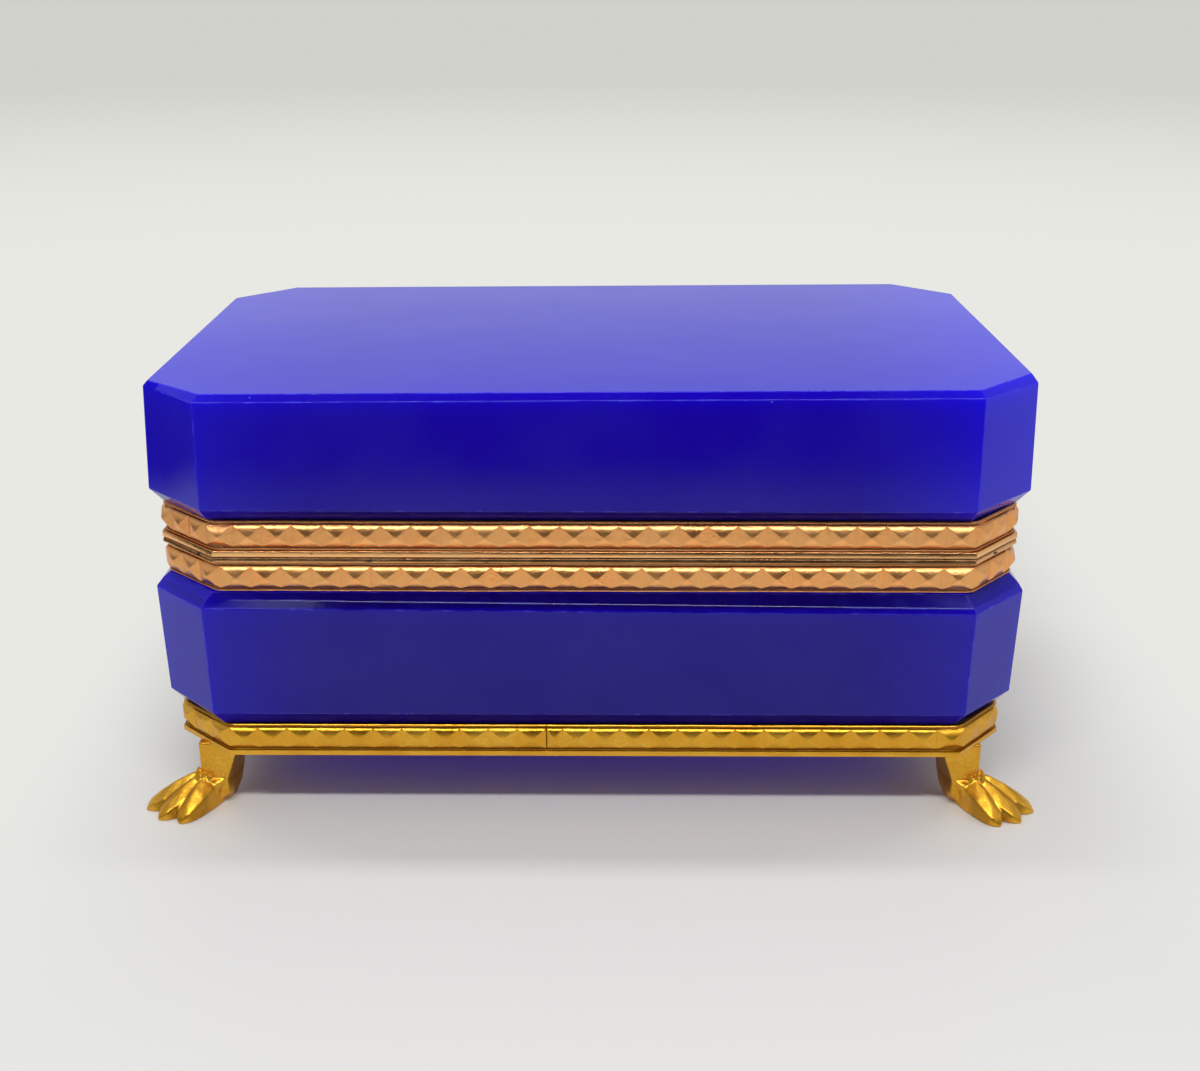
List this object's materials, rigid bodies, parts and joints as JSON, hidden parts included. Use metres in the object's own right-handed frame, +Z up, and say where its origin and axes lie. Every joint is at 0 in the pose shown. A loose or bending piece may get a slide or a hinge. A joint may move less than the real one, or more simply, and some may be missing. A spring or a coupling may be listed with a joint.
{
  "type": "footed glass casket box",
  "caption": "Octagonal opaline glass box with a hinged glass lid, gilt rims with diamond-point strips, a gilt foot frame and cast lion-paw feet.",
  "frame": {"origin": "on the floor under the middle of the box", "axes": "+Z up, +X along the long side to the viewer's right, -Y towards the front, away from the hinge"},
  "size_m": [0.1596, 0.0919, 0.0785],
  "materials": {
    "blue_opaline": "polished",
    "plaster": "matte",
    "rose_gilt": "satin",
    "yellow_gilt": "satin",
    "plain_brass": "satin"
  },
  "bodies": {
    "base": {"base_glass": "blue_opaline", "base_cement": "plaster", "base_rim": "rose_gilt", "base_band": "rose_gilt", "base_hinge_plate": "rose_gilt", "base_hinge_knuckles": "rose_gilt", "hinge_pin": "plain_brass", "foot_frame": "yellow_gilt", "foot_band": "yellow_gilt", "foot_cement": "plaster", "paw_front_left": "yellow_gilt", "paw_front_right": "yellow_gilt", "paw_rear_left": "yellow_gilt", "paw_rear_right": "yellow_gilt", "foot_screws": "plain_brass"},
    "lid": {"lid_glass": "blue_opaline", "lid_cement": "plaster", "lid_rim": "rose_gilt", "lid_band": "rose_gilt", "lid_hinge_plate": "rose_gilt", "lid_hinge_knuckles": "rose_gilt"}
  },
  "joints": [
    {"name": "lid_hinge", "type": "hinge", "parent": "base", "child": "lid", "pos_m": [0, 0.04477, 0.0499], "axis": [-1, 0, 0], "range_deg": [0, 95]}
  ]
}
